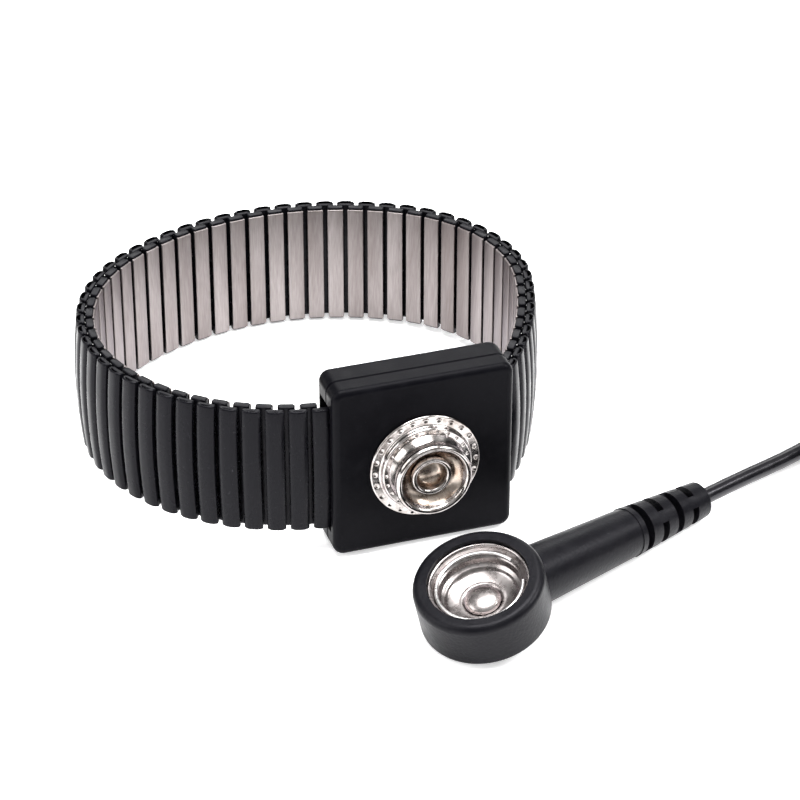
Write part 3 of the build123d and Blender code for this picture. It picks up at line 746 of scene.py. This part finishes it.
def make_staples(name, middle, outer_row):
    """The four staples of one inner link, to the outer link on each side, at both edges."""
    nearest = sorted(outer_row, key=lambda o: (o[0] - middle).length)[:2]
    points, faces = [], []
    for other, *_ in nearest:
        gap = other - middle
        way = gap.normalized()
        for end in (-1, 1):
            leg_in = middle + gap * 0.28
            leg_out = other - gap * 0.28
            path = staple_path(leg_in, leg_out, end, 1.4, 0.45)
            wire(points, faces, path, staple_radius * mm)
    piece = new_piece(name, points, faces, [SPRING])
    outward_normals(piece)
    return piece


def finish_link(piece):
    """Consistent normals, with sharp corners kept sharp."""
    outward_normals(piece)
    piece.data.set_sharp_from_angle(angle=radians(50))


make_band()

# ======== snap stud ========
stud_axis = Vector(mounts["snap_stud"]["axis"])
rim_centre = Vector(mounts["snap_stud"]["pos_m"])
stud_reach = 3.7  # of the rim above the front cover's face, in mm
stud_base = rim_centre - stud_axis * stud_reach * mm

# how many dents, their ring's radius, and each one's own radius and depth, in mm
dent_rings = ((24, 6.85, 0.36, 0.16), (24, 5.55, 0.24, 0.10))


def stud_dent(angle, radius, height):
    """Small dents round the flange and round its shoulder."""
    move = 0.0
    for count, ring, reach, depth in dent_rings:
        if abs(radius - ring) > reach or height < 0.3:
            continue
        step = 2 * pi / count
        offset = (angle + step / 2) % step - step / 2
        distance = hypot(offset * radius, radius - ring) / reach
        if distance < 1:
            move -= depth * (1 - distance * distance) ** 2
    return move


def steps_between(start, end, count):
    """Points on the way from one profile corner to another, without the first."""
    return [
        (start[0] + (end[0] - start[0]) * i / count, start[1] + (end[1] - start[1]) * i / count)
        for i in range(1, count + 1)
    ]


def make_flange():
    """Pressed flange: a dimpled rim, a step, and a raised shoulder."""
    profile = [(2.12, 0.0), (7.3, 0.0), (7.42, 0.06), (7.45, 0.2), (7.42, 0.42), (7.3, 0.52)]
    profile += steps_between((7.3, 0.52), (6.3, 0.62), 14)
    profile += [(6.2, 0.66), (6.12, 0.78), (6.06, 1.05), (6.0, 1.22), (5.9, 1.34)]
    profile += steps_between((5.9, 1.34), (5.25, 1.4), 10)
    profile += [(5.15, 1.3), (5.08, 1.0), (5.0, 0.6), (4.9, 0.5), (2.12, 0.5)]
    piece = revolved(
        "dimpled_flange", stud_base, stud_axis, profile, [NICKEL], steps=336, dent=stud_dent
    )
    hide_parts("stud_flange")
    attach(piece, "strap_housing")


def make_stud():
    """Rolled male snap: a conical neck, and a rim that rolls over into the cup inside."""
    outside = [(2.12, 0.52), (5.0, 0.54), (5.4, 0.7), (5.42, 1.0), (5.2, 1.4)]
    outside += [(4.95, 1.95), (4.75, 2.4), (4.68, 2.8)]
    roll = [
        (4.7 + 0.45 * sin(radians(a)), 3.72 - 0.66 * cos(radians(a)))
        for a in range(20, 181, 16)
    ]
    inside = [(4.5, 4.3), (4.36, 4.15), (4.26, 3.95), (4.1, 3.6)]
    inside += [(3.85, 3.2), (3.5, 2.85), (3.1, 2.62), (2.12, 2.5)]
    profile = outside + roll + inside

    def picks(a, b):
        return 1 if a[0] < 4.2 and 2.0 < a[1] < 3.8 else 0

    piece = revolved("rolled_stud", stud_base, stud_axis, profile, [NICKEL, WARM], picks, steps=192)
    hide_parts("snap_stud")
    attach(piece, "strap_housing")


def make_eyelet():
    """Eyelet: a rolled ring round a dished centre, and its flare behind the contact plate."""
    ring = [
        (2.38 + 0.42 * cos(radians(a)), 2.95 + 0.42 * sin(radians(a)))
        for a in range(-10, 191, 20)
    ]
    dish = [(1.92, 2.6), (1.88, 2.2), (1.7, 1.8), (1.3, 1.55), (0.7, 1.42), (0.0, 1.38)]
    back = [(0.0, -1.3), (1.75, -1.3), (1.75, -4.6), (3.0, -4.6), (3.0, -4.3), (2.1, -4.3)]
    neck = [(2.1, 2.5), (2.6, 2.52), (2.74, 2.6)]
    profile = ring + dish + back + neck

    def picks(a, b):
        return 1 if a[0] < 1.93 and a[1] > 1.0 else 0

    piece = revolved("rolled_eyelet", stud_base, stud_axis, profile, [NICKEL, WARM], picks, steps=128)
    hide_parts("stud_eyelet")
    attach(piece, "strap_housing")


make_flange()
make_stud()
make_eyelet()

# ======== contact socket in the snap plug ========
socket_axis = Vector(mounts["snap_socket"]["axis"])
socket_depth = 4.2  # from the head's underside to the mount, in mm
socket_base = Vector(mounts["snap_socket"]["pos_m"]) - socket_axis * socket_depth * mm


def make_socket():
    """Pressed cup: a thin lip, stepped rings down its wall and a smooth dish."""
    lip = [(6.5, 6.02), (6.5, 6.18), (6.4, 6.26), (6.24, 6.26), (6.12, 6.14), (6.02, 5.75)]
    wall = [(5.98, 5.45), (5.74, 5.32), (5.66, 4.95), (5.42, 4.8), (5.3, 4.66), (5.26, 4.1)]
    wall += [(5.1, 3.86), (4.82, 3.74), (4.62, 3.62), (4.56, 3.36)]
    dish = [(4.3, 3.2), (3.7, 2.98), (3.2, 2.82), (2.9, 2.76), (2.72, 2.82)]
    dish += [(2.58, 2.76), (2.5, 2.62), (0.82, 2.6)]
    outside = [(0.82, 2.3), (2.5, 2.36), (3.3, 2.56), (4.4, 2.98), (4.8, 3.34), (5.45, 3.56)]
    outside += [(5.54, 4.5), (5.9, 4.8), (6.2, 5.3), (6.26, 5.9)]
    profile = lip + wall + dish + outside
    piece = revolved("contact_cup", socket_base, socket_axis, profile, [SHADED_CUP_NICKEL], steps=160)
    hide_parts("socket_cup")
    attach(piece, "ground_lead")
    return piece


def make_rivet():
    """Domed contact in the middle of the cup."""
    dome = [(2.38 * sin(radians(a)), 2.7 + 0.95 * cos(radians(a))) for a in range(0, 91, 6)]
    shank = [(2.3, 2.64), (0.8, 2.62), (0.8, 0.7), (0.0, 0.7)]
    piece = revolved("contact_dome", socket_base, socket_axis, dome + shank, [SHADED_CUP_NICKEL], steps=96)
    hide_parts("contact_rivet")
    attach(piece, "ground_lead")
    return piece


make_socket()
make_rivet()


# ======== floor, light and surroundings ========
def make_floor():
    """A plain pale floor with a very fine grain."""
    shader = Shader("paper", (0.93, 0.93, 0.935), 0.9, specular=0.1)
    shader.surface.inputs["Emission Color"].default_value = (1, 1, 1, 1)
    shader.surface.inputs["Emission Strength"].default_value = 0.55
    grain = shader.spread(shader.noise(300, 4), 0, 1)
    shader.vary_colour(grain, (0.925, 0.925, 0.93), (0.94, 0.94, 0.945))
    half = 3.0
    floor = new_piece(
        "floor",
        [(-half, -half, 0), (half, -half, 0), (half, half, 0), (-half, half, 0)],
        [(0, 1, 2, 3)],
        [shader.material],
        smooth=False,
    )


def area_light(name, place, target, size, power, colour=(1, 1, 1)):
    """A soft square light that points at a target."""
    data = bpy.data.lights.new(name, "AREA")
    data.shape = "RECTANGLE"
    data.size, data.size_y = size
    data.energy = power
    data.color = colour
    light = bpy.data.objects.new(name, data)
    light.location = place
    light.rotation_euler = (Vector(target) - Vector(place)).to_track_quat("-Z", "Y").to_euler()
    scene.collection.objects.link(light)
    return light


def make_lights():
    """A light overhead and three round the object, in a room that is brighter upwards."""
    world = bpy.data.worlds.new("room")
    world.use_nodes = True
    tree = world.node_tree
    place = tree.nodes.new("ShaderNodeTexCoord")
    height = tree.nodes.new("ShaderNodeSeparateXYZ")
    level = tree.nodes.new("ShaderNodeMapRange")
    limits = {"From Min": 0.2, "From Max": 0.7, "To Min": 0.12, "To Max": 0.6}
    for limit, value in limits.items():
        level.inputs[limit].default_value = value
    tree.links.new(place.outputs["Generated"], height.inputs["Vector"])
    tree.links.new(height.outputs["Z"], level.inputs["Value"])
    background = tree.nodes["Background"]
    background.inputs["Color"].default_value = (1, 1, 1, 1)
    tree.links.new(level.outputs["Result"], background.inputs["Strength"])
    scene.world = world
    area_light("top", (0.0, 0.05, 0.8), (0, 0, 0), (0.6, 0.45), 12)
    area_light("left", (-0.8, 0.1, 0.4), (0, 0, 0.01), (0.5, 0.5), 4)
    area_light("rear", (0.3, 0.95, 0.62), (0, 0, 0.01), (0.8, 0.4), 4)
    area_light("right", (0.62, -0.24, 0.66), (0.02, -0.04, 0.01), (0.3, 0.3), 6)


make_floor()
make_lights()
scene.view_settings.view_transform = "Standard"
scene.view_settings.look = "None"
